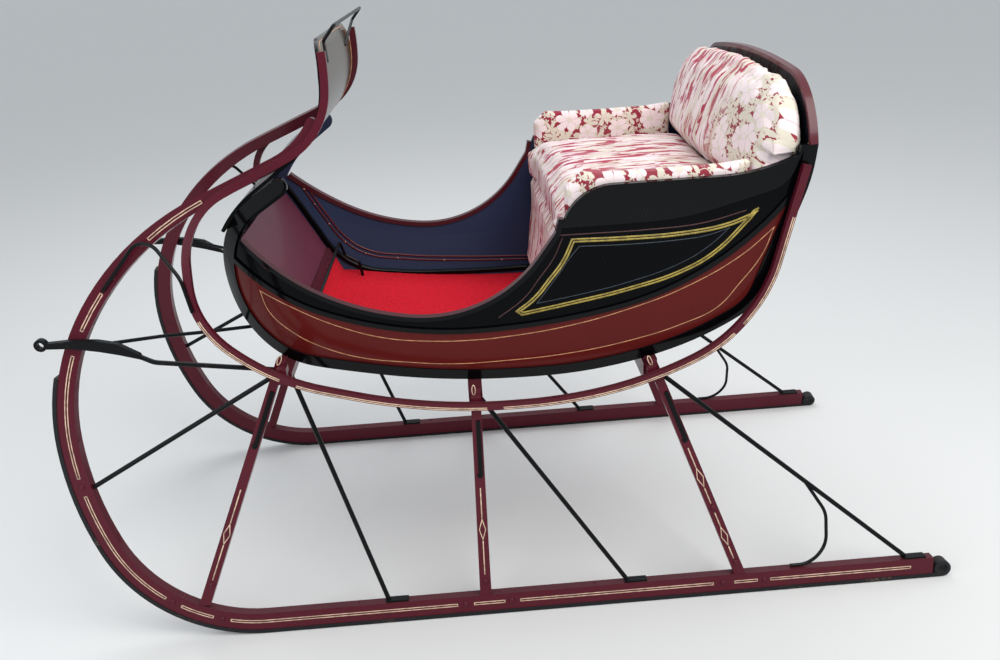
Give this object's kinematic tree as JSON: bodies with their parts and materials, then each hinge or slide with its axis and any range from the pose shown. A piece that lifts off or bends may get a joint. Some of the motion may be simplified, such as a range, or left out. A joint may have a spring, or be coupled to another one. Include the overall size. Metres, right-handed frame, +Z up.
{
  "type": "horse drawn sleigh",
  "caption": "One-seat horse-drawn sleigh: swelled open body with an upholstered seat and curved dash, on bent runners with iron stays and draft irons.",
  "frame": {"origin": "on the ground, midway between the runners, under the middle of the overall length", "axes": "+X forward, +Y to the driver's left, +Z up"},
  "size_m": [2.2371, 0.9998, 1.475],
  "materials": {
    "gear_wood": "gloss paint",
    "panel_red": "gloss paint",
    "panel_black": "gloss paint",
    "moulding_black": "gloss paint",
    "rim_red": "gloss paint",
    "iron_black": "gloss paint",
    "shoe_iron": "worn paint",
    "board_brown": "satin paint",
    "upholstery": "woven floral cloth",
    "carpet_red": "cut pile"
  },
  "bodies": {
    "root": {"arc_brace_left": "iron_black", "arc_brace_right": "iron_black", "arm_pad_left": "upholstery", "arm_pad_right": "upholstery", "arm_panel_left": "moulding_black", "arm_panel_right": "moulding_black", "back_board": "panel_black", "back_pad": "upholstery", "back_panel": "panel_red", "back_rim": "rim_red", "bead_left": "moulding_black", "bead_right": "moulding_black", "beam_front": "gear_wood", "beam_middle": "gear_wood", "beam_rear": "gear_wood", "border_left": "moulding_black", "border_right": "moulding_black", "brace_front_left": "iron_black", "brace_front_right": "iron_black", "brace_rear_left": "iron_black", "brace_rear_right": "iron_black", "carpet": "carpet_red", "cushion": "upholstery", "dash": "panel_black", "draft_iron_left": "iron_black", "draft_iron_right": "iron_black", "draft_rod_left": "iron_black", "draft_rod_right": "iron_black", "floor": "panel_red", "foot_rail": "iron_black", "front_panel": "panel_black", "lower_side_left": "panel_red", "lower_side_right": "panel_red", "post_front_left": "gear_wood", "post_front_right": "gear_wood", "post_middle_left": "gear_wood", "post_middle_right": "gear_wood", "post_rear_left": "gear_wood", "post_rear_right": "gear_wood", "rave_left": "gear_wood", "rave_right": "gear_wood", "rein_rail": "iron_black", "rim_left": "rim_red", "rim_right": "rim_red", "runner_left": "gear_wood", "runner_right": "gear_wood", "seat_board": "board_brown", "seat_fall": "upholstery", "seat_riser": "board_brown", "shoe_left": "shoe_iron", "shoe_right": "shoe_iron", "stay_front_left": "iron_black", "stay_front_right": "iron_black", "stay_middle_left": "iron_black", "stay_middle_right": "iron_black", "stay_rear_left": "iron_black", "stay_rear_right": "iron_black", "toe_board": "board_brown", "upper_side_left": "panel_black", "upper_side_right": "panel_black"}
  },
  "joints": []
}
